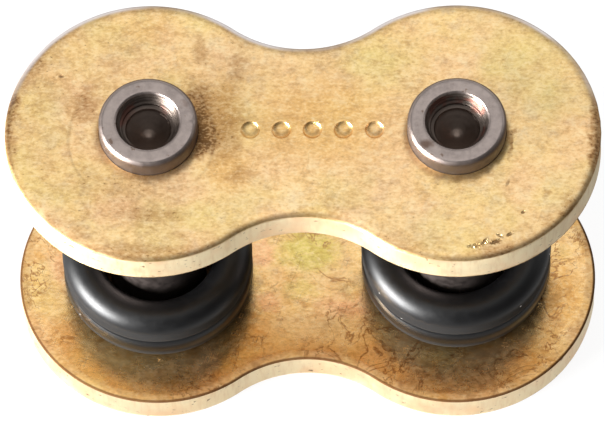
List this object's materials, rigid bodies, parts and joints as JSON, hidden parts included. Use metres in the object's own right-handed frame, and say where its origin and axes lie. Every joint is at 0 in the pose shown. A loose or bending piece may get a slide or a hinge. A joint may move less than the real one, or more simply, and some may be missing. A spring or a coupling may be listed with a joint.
{
  "type": "chain connecting link",
  "caption": "Rivet-type connecting link of a motorcycle drive chain: pins pressed into a waisted outer plate, a slip-on outer plate, and O-rings stacked around each pin.",
  "frame": {"origin": "midway between the pins, level with the pins' lower ends", "axes": "+X from the left pin to the right pin, along the chain; +Z along the pins, from the pin plate to the connecting plate"},
  "size_m": [0.0308, 0.0148, 0.0203],
  "materials": {
    "pin_plate_zinc": "gold-tinted zinc plating over steel, satin, with fine dark specks and wear",
    "connecting_plate_zinc": "gold-tinted zinc plating over steel, satin, with fine dark specks and wear",
    "pin_steel": "turned and ground alloy steel, lightly oiled",
    "ring_rubber": "greased black nitrile rubber"
  },
  "bodies": {
    "pinned_plate": {"pin_plate": "pin_plate_zinc", "pin_left": "pin_steel", "pin_right": "pin_steel"},
    "loose_plate": {"connecting_plate": "connecting_plate_zinc"},
    "left_lower_ring": {"o_ring_left_lower": "ring_rubber"},
    "left_upper_ring": {"o_ring_left_upper": "ring_rubber"},
    "right_lower_ring": {"o_ring_right_lower": "ring_rubber"},
    "right_upper_ring": {"o_ring_right_upper": "ring_rubber"}
  },
  "joints": [
    {"name": "loose_plate_slide", "type": "slide", "parent": "pinned_plate", "child": "loose_plate", "axis": [0, 0, 1], "range_m": [-0.00095, 0.008]},
    {"name": "left_lower_ring_slide", "type": "slide", "parent": "pinned_plate", "child": "left_lower_ring", "axis": [0, 0, 1], "range_m": [0, 0.0049]},
    {"name": "left_upper_ring_slide", "type": "slide", "parent": "left_lower_ring", "child": "left_upper_ring", "axis": [0, 0, 1], "range_m": [0, 0.0049]},
    {"name": "right_lower_ring_slide", "type": "slide", "parent": "pinned_plate", "child": "right_lower_ring", "axis": [0, 0, 1], "range_m": [0, 0.0049]},
    {"name": "right_upper_ring_slide", "type": "slide", "parent": "right_lower_ring", "child": "right_upper_ring", "axis": [0, 0, 1], "range_m": [0, 0.0049]}
  ]
}
